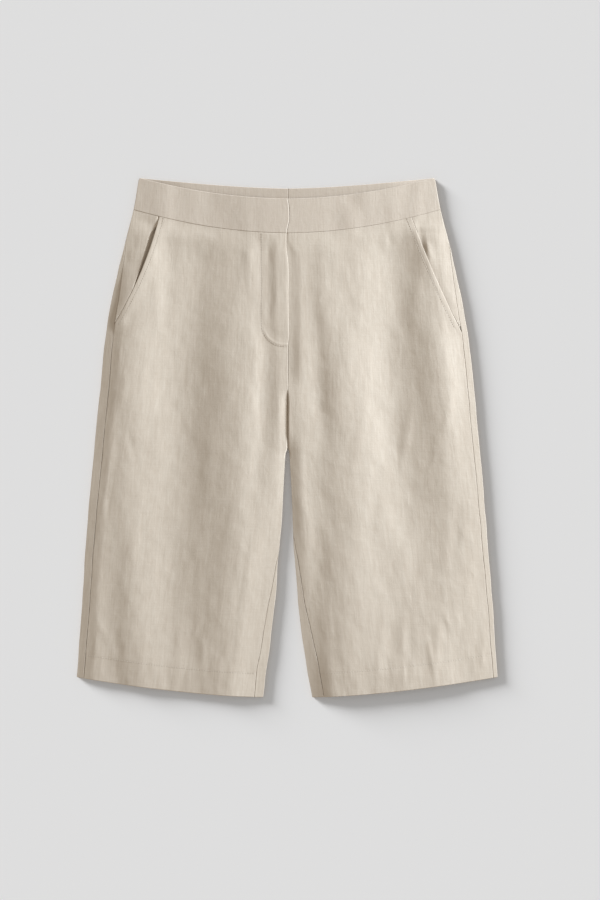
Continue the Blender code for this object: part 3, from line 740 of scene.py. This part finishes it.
def band_height(half, q, y):
    z = band_face(half, q, y)
    if half == "left":
        z = z + (BAND_UNDER_LOFT - z) * ramp(*BAND_LAP_SPAN, q - lap_wander(y))
    return z


# ---- points on the flattened tube

def fold_drop(angle, top):
    """How far a fold's arc lies below its start."""
    upper = top * (1 - np.cos(np.minimum(angle, math.pi / 2)))
    return upper - (EDGE_HEIGHT - top) * np.cos(np.clip(angle, math.pi / 2, math.pi))


def inner_top(y):
    """Height of the turn at the inner fold: deep at the fork, quick down the legs."""
    return FOLD_TOP + (FORK_TOP - FOLD_TOP) * ramp(*FORK_TOP_SPAN, y)


def top_point(height, half, s, y):
    """Point of the top side at path place s, which runs on down the arcs at both folds."""
    fold = fold_start(half, y)
    inner = np.where(y < FORK_TURN_SPAN[0], arc_top(half, y), -1000)
    out_angle = np.maximum(s - fold, 0) / FOLD_RADIUS
    in_angle = np.maximum(inner - s, 0) / FOLD_RADIUS
    flat = np.clip(s, inner, fold)
    q = flat + FOLD_WIDTH * np.sin(out_angle) - table_at(INNER_TURN, half, y) * np.sin(in_angle)
    z = height(half, flat, y)
    return q, z - fold_drop(out_angle, FOLD_TOP) - fold_drop(in_angle, inner_top(y))


def back_inner(half, y):
    """Where the bottom run ends, the angle by which the back turns up, and its run on top."""
    up = 0.5 * math.pi * ramp(*BACK_TURN_SPAN, y)
    inset = table_at(INNER_SEAM_IN, half, y)
    angle = np.where(inset > 0, math.pi - seam_angle(inset), up)
    turn = table_at(INNER_TURN, half, y) * np.sin(np.minimum(angle, 0.5 * math.pi))
    return inner_fold(half, y) + turn, angle, np.maximum(inset - FOLD_WIDTH, 0)


def back_point(half, s, y):
    """Point of a back panel's outer face; s is 0 at the top of the side fold's arc."""
    fold = fold_start(half, y)
    corner = back_inner(half, y)[0]
    half_turn = math.pi * FOLD_RADIUS
    arc_end = half_turn + (fold - corner)
    turned = np.clip(s, 0, half_turn) / FOLD_RADIUS
    run = np.clip(s - half_turn, 0, fold - corner)
    up = np.clip(s - arc_end, 0, half_turn) / FOLD_RADIUS
    beyond = np.maximum(s - arc_end - half_turn, 0)
    before = np.minimum(s, 0)
    turn = table_at(INNER_TURN, half, y) * np.sin(up)
    q = fold + before + FOLD_WIDTH * np.sin(turned) - run - turn + beyond
    z = 2 * EDGE_HEIGHT - fold_drop(turned, FOLD_TOP) - fold_drop(math.pi - up, inner_top(y))
    on_top = (before < 0) | (beyond > 0)
    return q, np.where(on_top, top_height(half, q, y), z)


def band_back_point(half, s, y):
    """The back waistband's top edge lifts a little."""
    q, z = back_point(half, s, y)
    lift = BAND_LIFT * ramp(WAIST_Y - 2 * BAND_LIFT_DEPTH, WAIST_Y, y)
    first, last = BAND_LIFT_ENDS
    side = side_fold(half, y)
    return q, z + lift * ramp(side - first, side - last, q)


def back_ends(half, y):
    inset = table_at(SIDE_SEAM_IN, half, y)
    start = np.where(inset > FOLD_WIDTH, FOLD_WIDTH - inset, FOLD_RADIUS * seam_angle(inset))
    corner, angle, top_run = back_inner(half, y)
    end = math.pi * FOLD_RADIUS + (fold_start(half, y) - corner)
    end = end + angle * FOLD_RADIUS + top_run
    return start + GAP / 2, end - GAP / 2 * (angle > 0.01)


# ---- shells

def steps(first, last, spacing):
    count = max(int(round((last - first) / spacing)), 1)
    return list(np.linspace(first, last, count + 1)[1:])


def levels_between(low, high, spacing, finer=()):
    """Rows from low to high, close beside both ends and in each finer stretch."""
    rows = [low + d for d in NEAR_EDGE]
    for start, end, close in finer:
        rows += steps(rows[-1], start, spacing)
        rows += steps(rows[-1], end, close)
    rows += steps(rows[-1], high - NEAR_EDGE[-1], spacing)
    return np.array(rows + [high - d for d in NEAR_EDGE[::-1]][1:])


def close_columns(near, form):
    """Columns beside an edge, up to the form's distance, at its spacing."""
    return near + tuple(steps(near[-1], *form))


def lapped_columns(lap):
    """Columns beside an edge that lies under a lap, close beside the lap's edge too."""
    lead = steps(NEAR_EDGE[-1], lap + NEAR_LAP[0], BEFORE_LAP)[:-1]
    return NEAR_EDGE + tuple(lead) + tuple(lap + d for d in NEAR_LAP)


def column_rule(near_start, middle, near_end):
    """Columns as (share, shift): place = start + share * (end - start) + shift."""
    between = [(i + 1) / (middle + 1) for i in range(middle)]
    share = [0] * len(near_start) + between + [1] * len(near_end)
    shift = list(near_start)
    shift += [(1 - t) * near_start[-1] - t * near_end[-1] for t in between]
    shift += [-d for d in near_end[::-1]]
    return np.array(share), np.array(shift)


def rounding(distance, width):
    """Share of the thickness left beside a rounded edge."""
    inside = np.clip(distance / width, 0, 1)
    return np.maximum(np.sqrt(1 - (1 - inside) ** 2), THINNEST)


def changing_edge(low, high, share):
    """An edge's form that changes from one to the other up its rows."""
    return Edge(*(a + (b - a) * share for a, b in zip(low, high)))


def cloth_grids(half, levels, rule, ends, level_at, point, thickness, edge_forms):
    """Outer and inner grids of a piece, and the places of its threads.

    ends(y) gives the path places of both ends, level_at(q, y) a row's bent height, point(s, y)
    the outer face, thickness(q, y) the cloth.  edge_forms tell how the start, the end, the
    lowest and the highest edge round off.
    """
    share, shift = rule
    y = np.repeat(np.asarray(levels, float)[:, None], len(share), axis=1)
    flat_y = y

    def place(at_y):
        start, end = ends(at_y)
        return start + share * (end - start) + shift, start, end

    for _ in range(2):
        s, start, end = place(y)
        q = point(s, y)[0]
        y = level_at(q, flat_y)
    s, start, end = place(y)
    q1, z1 = point(s + NORMAL_STEP, y)
    q0, z0 = point(s - NORMAL_STEP, y)
    length = np.hypot(q1 - q0, z1 - z0)
    normal_q = -(z1 - z0) / length
    normal_z = (q1 - q0) / length
    q, z = point(s, y)
    half_wall = thickness(q, y) / 2
    full = np.ones_like(s)
    distances = (s - start, end - s, flat_y - levels[0], levels[-1] - flat_y)
    for distance, form in zip(distances, edge_forms):
        full = np.minimum(full, 1 - form.depth * (1 - rounding(distance, form.width)))
    sides = []
    for face in (1, -1):
        off = half_wall * (face * full - 1)
        sides.append(np.stack([CENTRE_X + SIGN[half] * (q + normal_q * off), y,
                               z + normal_z * off], axis=-1))
    return sides[0], sides[1], np.stack([grain(q, y), y, 0 * y], axis=-1)


def facing_out(points, quads):
    """A closed shell's faces, turned outwards."""
    a, b, c, d = (points[quads[:, corner]] for corner in range(4))
    volume = np.sum(a * (np.cross(b, c) + np.cross(c, d)))
    return quads if volume > 0 else quads[:, ::-1]


def new_object(name, data):
    item = bpy.data.objects.new(name, data)
    bpy.context.scene.collection.objects.link(item)
    return item


def new_piece(name, points, faces):
    """Smooth-shaded mesh object from points in millimetres."""
    mesh = bpy.data.meshes.new(name)
    mesh.from_pydata((np.asarray(points) * MM).tolist(), [], faces)
    mesh.shade_smooth()
    return new_object(name, mesh)


def shell(name, grids):
    """Closed mesh between two grids, with the places of its threads."""
    outer, inner, threads = grids
    rows, cols = outer.shape[:2]
    count = rows * cols
    points = np.concatenate([outer.reshape(-1, 3), inner.reshape(-1, 3)])
    index = np.arange(count).reshape(rows, cols)
    a, b, c, d = index[:-1, :-1], index[:-1, 1:], index[1:, 1:], index[1:, :-1]
    top = np.stack([a, b, c, d], axis=-1).reshape(-1, 4)
    under = np.stack([a, d, c, b], axis=-1).reshape(-1, 4) + count
    rim = np.concatenate([index[0, :], index[1:, -1], index[-1, -2::-1], index[-2:0:-1, 0]])
    ahead = np.roll(rim, -1)
    side = np.stack([rim, rim + count, ahead + count, ahead], axis=-1)
    quads = facing_out(points, np.concatenate([top, under, side]))
    piece = new_piece(name, points, quads.tolist())
    spot = piece.data.attributes.new("threads", "FLOAT_VECTOR", "POINT")
    both = np.concatenate([threads.reshape(-1, 3)] * 2)
    spot.data.foreach_set("vector", both.astype(np.float32).ravel())
    return piece


def finish_piece(piece, look):
    material, slot = look
    piece.data.materials.append(material)
    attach(piece, "root")
    GARMENT.append(piece)


def lay_cloth(panel, half, look, flat, rests_on, *form):
    """Put a sheet of cloth, a shell of the given form, in its CAD node's place."""
    node = panel + "_" + half
    piece = shell("cloth_" + node.replace("waistband", "band"), cloth_grids(half, *form))
    finish_piece(piece, look)
    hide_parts(node)


# ---- panels

def front_panel(half, look):
    levels = levels_between(HEM_Y, BAND_SEAM_Y - GAP / 2, FRONT_ROWS, FINER_FRONT)
    near_centre = lapped_columns(UNDERLAP) if half == "left" else NEAR_EDGE
    near_centre = close_columns(near_centre, CENTRE_COLUMNS)
    near_side = close_columns(NEAR_EDGE, SIDE_COLUMNS)
    in_body = ramp(*BODY_EDGE_SPAN, levels)[:, None]
    beside_mouth = pocket_share(half, levels)[:, None]
    lap_edge = LAP_EDGE if half == "right" else FLAT_SEAM_EDGE
    centre_edge = changing_edge(FACING_CENTRE[half], lap_edge, in_body)
    side_edge = changing_edge(FACING_SIDE[half], MOUTH_EDGE[half], beside_mouth)
    lay_cloth("front", half, look, FRONT_FLAT, "cloth_back_" + half,
              levels, column_rule(near_centre, MIDDLE_COLUMNS["front"], near_side),
              lambda y: (front_centre_end(half, y), front_side_end(half, y)),
              partial(bent_row, half, BAND_SEAM_DROP), partial(top_point, front_height, half),
              partial(front_wall, half), (centre_edge, side_edge, FOLDED_EDGE, FLAT_SEAM_EDGE))


def back_panel(half, look):
    levels = levels_between(HEM_Y, BAND_SEAM_Y - GAP / 2, BACK_ROWS, FINER_BACK)
    near_side = close_columns(NEAR_EDGE, BACK_COLUMNS)
    lay_cloth("back", half, look, BACK_FLAT, "floor",
              levels, column_rule(near_side, MIDDLE_COLUMNS["back"], near_side),
              partial(back_ends, half), partial(bent_row, half, BACK_SEAM_DROP),
              partial(back_point, half), partial(hem_wall, half),
              (FACING_CENTRE[half], FACING_SIDE[half], FOLDED_EDGE, SEAM_EDGE))


def pocket_side(half, look):
    bottom = MOUTH[half].bottom_y
    levels = levels_between(bottom - POCKET_BELOW, BAND_SEAM_Y - GAP / 2, SMALL_ROWS)
    taper_height, taper = POCKET_TAPER

    def ends(y):
        mouth = mouth_at(half, np.maximum(y, bottom))
        inset = table_at(SIDE_SEAM_IN, half, y)
        fold = fold_start(half, y)
        seam = np.where(inset > FOLD_WIDTH, fold + FOLD_WIDTH - inset,
                        fold + FOLD_RADIUS * seam_angle(inset)) - GAP / 2
        end = seam - taper * ramp(bottom + taper_height, bottom - taper_height, y)
        return np.minimum(mouth, end) - POCKET_UNDERLAP, end

    near_mouth = lapped_columns(POCKET_UNDERLAP)
    lay_cloth("pocket_side", half, look, POCKET_FLAT, "cloth_back_" + half,
              levels, column_rule(near_mouth, MIDDLE_COLUMNS["pocket"], NEAR_EDGE), ends,
              partial(bent_row, half, BAND_SEAM_DROP), partial(top_point, pocket_height, half),
              lambda q, y: CLOTH + 0 * q,
              (SEAM_EDGE, FACING_SIDE[half], SEAM_EDGE, FLAT_SEAM_EDGE))


def band_level(half, seam_drop, top_drop, top_bow, q, y):
    """A band's rows run from its seam up to its top edge."""
    out = np.clip(1 - (side_fold(half, WAIST_Y + 0 * y) - q) / CORNER_ROUND, 0, 1)
    low = BAND_SEAM_Y + GAP / 2 - centre_drop(half, q, BAND_SEAM_Y + 0 * y, seam_drop)
    high = WAIST_Y - centre_drop(half, q, WAIST_Y + 0 * y, top_drop, top_bow)
    high = high - CORNER_ROUND * (1 - np.sqrt(1 - out**2))
    return low + (high - low) * (y - BAND_SEAM_Y) / (WAIST_Y - BAND_SEAM_Y)


def waistband_front(half, look):
    def ends(y):
        start = GAP / 2 - lap_wander(y) if half == "right" else lap_wander(y) - BAND_UNDERLAP
        return start, fold_start(half, y) + FOLD_RADIUS * math.pi / 2 - GAP / 2

    near_centre = lapped_columns(BAND_UNDERLAP) if half == "left" else NEAR_EDGE
    lay_cloth("waistband_front", half, look, BAND_FRONT_FLAT[half], "cloth_band_back_" + half,
              levels_between(BAND_SEAM_Y, WAIST_Y, SMALL_ROWS),
              column_rule(near_centre, MIDDLE_COLUMNS["band_front"], NEAR_EDGE), ends,
              partial(band_level, half, BAND_SEAM_DROP, FRONT_TOP_DROP, SEAM_BOW),
              partial(top_point, band_height, half), lambda q, y: BAND_CLOTH + 0 * q,
              (LAP_EDGE, SEAM_EDGE, FLAT_SEAM_EDGE, TOP_EDGE))


def waistband_back(half, look):
    def ends(y):
        start = FOLD_RADIUS * math.pi / 2 + GAP / 2
        return start + 0 * y, FOLD_RADIUS * math.pi + fold_start(half, y) - GAP / 2

    lay_cloth("waistband_back", half, look, BAND_BACK_FLAT, "floor",
              levels_between(BAND_SEAM_Y, WAIST_Y, SMALL_ROWS),
              column_rule(NEAR_EDGE, MIDDLE_COLUMNS["band_back"], NEAR_EDGE), ends,
              partial(band_level, half, BACK_SEAM_DROP, BACK_TOP_DROP, BACK_TOP_BOW),
              partial(band_back_point, half), lambda q, y: BAND_CLOTH + 0 * q,
              (SEAM_EDGE, FACING_CENTRE[half], SEAM_EDGE, TOP_EDGE))


# ---- stitches

def stitch_line(name, half, route, look, stand=STITCH_STAND):
    """Separate stitches along a route of (q, y) points on a front, sunk in the cloth."""
    route = np.asarray(route, float)
    z = front_height(half, route[:, 0], route[:, 1])
    line = np.stack([CENTRE_X + SIGN[half] * route[:, 0], route[:, 1], z], axis=-1)
    run = np.concatenate([[0], np.cumsum(np.linalg.norm(np.diff(line, axis=0), axis=1))])
    rng = np.random.default_rng(len(name))
    sides = STITCH_SIDES

    def on_line(place):
        return np.array([np.interp(place, run, line[:, i]) for i in range(3)])

    points = []
    faces = []
    for k in range(int(run[-1] // STITCH_PITCH)):
        middle = (k + 0.5) * STITCH_PITCH + rng.uniform(-STITCH_JITTER, STITCH_JITTER)
        first = len(points)
        for at, size in STITCH_RINGS:
            place = middle + at * STITCH_LENGTH
            centre = on_line(place)
            along = on_line(place + 0.5) - centre
            along /= np.linalg.norm(along)
            beside = np.array([-along[1], along[0], 0])
            centre[2] += THREAD_RADIUS * (stand - STITCH_DIVE * (2 * at) ** 4)
            for side in range(sides):
                angle = side * 2 * math.pi / sides
                points.append(centre + THREAD_RADIUS * size * (
                    math.cos(angle) * beside + math.sin(angle) * np.array([0, 0, 1])))
        last = len(points) - sides
        for ring in range(first, last, sides):
            for side in range(sides):
                a = ring + side
                b = ring + (side + 1) % sides
                faces.append((a + sides, b + sides, b, a))
        faces.append(tuple(range(first, first + sides)))
        faces.append(tuple(range(last, last + sides))[::-1])
    finish_piece(new_piece(name, points, faces), look)


def hem_route(half):
    low, high = HEM_STITCH_ENDS
    inner = float(inner_fold(half, low) + table_at(INNER_SEAM_IN, half, low))
    outer = float(side_fold(half, high) - table_at(SIDE_SEAM_IN, half, high))
    q = np.linspace(inner + STITCH_INSET, outer - STITCH_INSET, 160)
    return np.stack([q, hem_line(half, q, 0 * q)], axis=-1)


def fly_route():
    top = float(band_seam("right", FLY_WIDTH, 0)) - BAND_INSET
    corner_q = FLY_WIDTH - FLY_CORNER
    corner_y = FLY_BOTTOM_Y + FLY_CORNER
    route = [(FLY_WIDTH, y) for y in np.linspace(top, corner_y, 60)]
    turn = np.linspace(0, math.pi / 2, 30)[1:]
    route += [(corner_q + FLY_CORNER * math.cos(a), corner_y - FLY_CORNER * math.sin(a))
              for a in turn]
    route += [(q, FLY_BOTTOM_Y) for q in np.linspace(corner_q, 1, 6)[1:]]
    return route


def mouth_route(half):
    mouth = MOUTH[half]
    top = float(band_seam(half, mouth.top_q, 0)) - BAND_INSET
    y = np.linspace(top, mouth.bottom_y, 80)
    return np.stack([mouth_at(half, y) - MOUTH_FORM[half].stitch_in, y], axis=-1)


# ---- materials

class Graph:
    """Short way to build a material's nodes."""

    def __init__(self, name):
        self.material = bpy.data.materials.new(name)
        self.material.use_nodes = True
        self.tree = self.material.node_tree
        self.shader = self.tree.nodes["Principled BSDF"]

    def node(self, kind, inputs=None, **settings):
        made = self.tree.nodes.new(kind)
        for key, value in settings.items():
            setattr(made, key, value)
        self.fill(made, inputs or {})
        return made

    def fill(self, node, inputs):
        """Link or set a node's inputs, by their names or places."""
        for key, value in inputs.items():
            if isinstance(value, bpy.types.NodeSocket):
                self.tree.links.new(value, node.inputs[key])
            else:
                node.inputs[key].default_value = value

    def math(self, operation, a, b):
        return self.node("ShaderNodeMath", {0: a, 1: b}, operation=operation).outputs[0]

    def noise(self, place, form):
        """Noise in patches of the form's size."""
        scale = (1 / form.across, 1 / form.along, 1)
        scaled = self.node("ShaderNodeVectorMath", {0: place, 1: scale}, operation="MULTIPLY")
        made = self.node("ShaderNodeTexNoise",
                         {"Vector": scaled.outputs[0], "Scale": 1, "Detail": NOISE_DETAIL,
                          "Distortion": form.distortion})
        return made.outputs["Fac"]

    def mix(self, share, colours):
        dark, light = colours
        made = self.node("ShaderNodeMix", {"Factor": share, 6: (*dark, 1), 7: (*light, 1)},
                         data_type="RGBA")
        return made.outputs[2]

    def threads(self, place, scale, direction):
        made = self.node("ShaderNodeTexWave", {"Vector": place, "Scale": scale, "Distortion": 0.8,
                                               "Detail": 1, "Detail Scale": 0.3},
                         bands_direction=direction)
        return made.outputs["Fac"]


def linen(name, colours, slub=1):
    """Plain-woven linen: threads both ways, slubs along them, cloudy tone."""
    g = Graph(name)
    place = g.node("ShaderNodeAttribute", attribute_name="threads").outputs["Vector"]
    noises = [(form, g.noise(place, form)) for form in (LENGTHWISE, CROSSWISE, MOTTLED, CLOUDY)]
    slubs = (LENGTHWISE, CROSSWISE)
    tone = 0.5
    height = g.math("MULTIPLY", g.math("MAXIMUM", g.threads(place, WARP_SCALE, "X"),
                                       g.threads(place, WEFT_SCALE, "Y")), WEAVE_HEIGHT)
    for form, noise in noises:
        share = form.tone * (slub if form in slubs else 1)
        tone = g.math("ADD", tone, g.math("MULTIPLY", g.math("SUBTRACT", noise, 0.5), share))
        height = g.math("ADD", height, g.math("MULTIPLY", noise, form.height))
    bump = g.node("ShaderNodeBump", {"Height": height, "Strength": 0.55, "Distance": 0.00016})
    rough = g.node("ShaderNodeMapRange", {"Value": noises[0][1], "To Min": 0.82, "To Max": 0.96})
    g.fill(g.shader, {"Base Color": g.mix(tone, colours), "Normal": bump.outputs["Normal"],
                      "Roughness": rough.outputs["Result"], "Specular IOR Level": 0.25,
                      "Sheen Weight": 0.08, "Sheen Roughness": 0.5})
    return g.material


def thread_material():
    g = Graph("sewing_thread")
    place = g.node("ShaderNodeTexCoord").outputs["Object"]
    twist = g.node("ShaderNodeTexWave", {"Vector": place, "Scale": 700, "Distortion": 1},
                   bands_direction="DIAGONAL").outputs["Fac"]
    bump = g.node("ShaderNodeBump", {"Height": twist, "Strength": 0.4, "Distance": 0.0001})
    g.fill(g.shader, {"Base Color": g.mix(twist, THREAD_COLOURS), "Roughness": 0.7,
                      "Normal": bump.outputs["Normal"]})
    return g.material


def floor_material():
    g = Graph("pale_floor")
    g.fill(g.shader, {"Base Color": (*FLOOR_COLOUR, 1), "Roughness": 1,
                      "Specular IOR Level": 0})
    return g.material


# ---- studio

def camera():
    data = bpy.data.cameras.new("camera")
    data.lens = LENS
    data.sensor_width = SENSOR
    data.sensor_fit = "AUTO"
    item = new_object("camera", data)
    item.location = (VIEW_CENTRE[0] * MM, VIEW_CENTRE[1] * MM, VIEW_HEIGHT * MM * LENS / SENSOR)
    data.clip_end = 50
    bpy.context.scene.camera = item


def direction(height, around):
    up = math.radians(height)
    turn = math.radians(around)
    return np.array([math.cos(up) * math.cos(turn), math.cos(up) * math.sin(turn), math.sin(up)])


def lamp(name, kind, energy, towards, colour, lit):
    """Lamp that shines along a direction, on the given pieces alone."""
    item = new_object(name, bpy.data.lights.new(name, kind))
    item.data.energy = energy
    item.data.color = colour
    item.rotation_euler = Vector(towards).to_track_quat("-Z", "Y").to_euler()
    group = bpy.data.collections.new("lit_by_" + name)
    for piece in lit:
        group.objects.link(piece)
    item.light_linking.receiver_collection = group
    return item


def studio():
    """Pale floor; one lamp models the cloth, one throws its shadow on the floor."""
    corners = [(x * FLOOR_SIDE / 2, y * FLOOR_SIDE / 2, 0)
               for x, y in ((-1, -1), (1, -1), (1, 1), (-1, 1))]
    mesh = bpy.data.meshes.new("floor")
    mesh.from_pydata(corners, [], [(0, 1, 2, 3)])
    floor = new_object("floor", mesh)
    floor.location.z = FLOOR_Z * MM
    floor.data.materials.append(floor_material())

    world = bpy.data.worlds.new("studio")
    world.use_nodes = True
    light = world.node_tree.nodes["Background"].inputs
    light["Color"].default_value = (*WORLD_COLOUR, 1)
    light["Strength"].default_value = WORLD_LIGHT
    bpy.context.scene.world = world

    sun = lamp("shadow_sun", "SUN", SHADOW_SUN / math.sin(math.radians(SHADOW_SUN_FROM[0])),
               -direction(*SHADOW_SUN_FROM), FLOOR_SUN_COLOUR, [floor])
    sun.data.angle = math.radians(SHADOW_SUN_SPREAD)
    lamp("floor_sun", "SUN", FLOOR_SUN, (0, 0, -1), (1, 1, 1), [floor])
    towards = direction(*KEY_FROM)
    key = lamp("key", "AREA", KEY_POWER, -towards, KEY_COLOUR, GARMENT)
    key.data.shape = "DISK"
    key.data.size = KEY_SIZE
    key.data.cycles.max_bounces = 0
    key.location = tuple(towards * KEY_DISTANCE)

    bpy.context.scene.view_settings.view_transform = "Standard"
    bpy.context.scene.view_settings.look = "None"


# ---- everything

def main():
    camera()
    cloth = linen("linen_cloth", CLOTH_COLOURS), "linen"
    band = linen("linen_band", BAND_COLOURS, BAND_SLUB), "linen_band"
    thread = thread_material(), "thread"
    for half in ("right", "left"):
        back_panel(half, cloth)
        front_panel(half, cloth)
        pocket_side(half, cloth)
        waistband_back(half, band)
        waistband_front(half, band)
        stitch_line("hem_stitches_" + half, half, hem_route(half), thread, HEM_STAND[half])
        stitch_line("mouth_stitches_" + half, half, mouth_route(half), thread)
    stitch_line("fly_stitches", "right", fly_route(), thread)
    studio()


main()
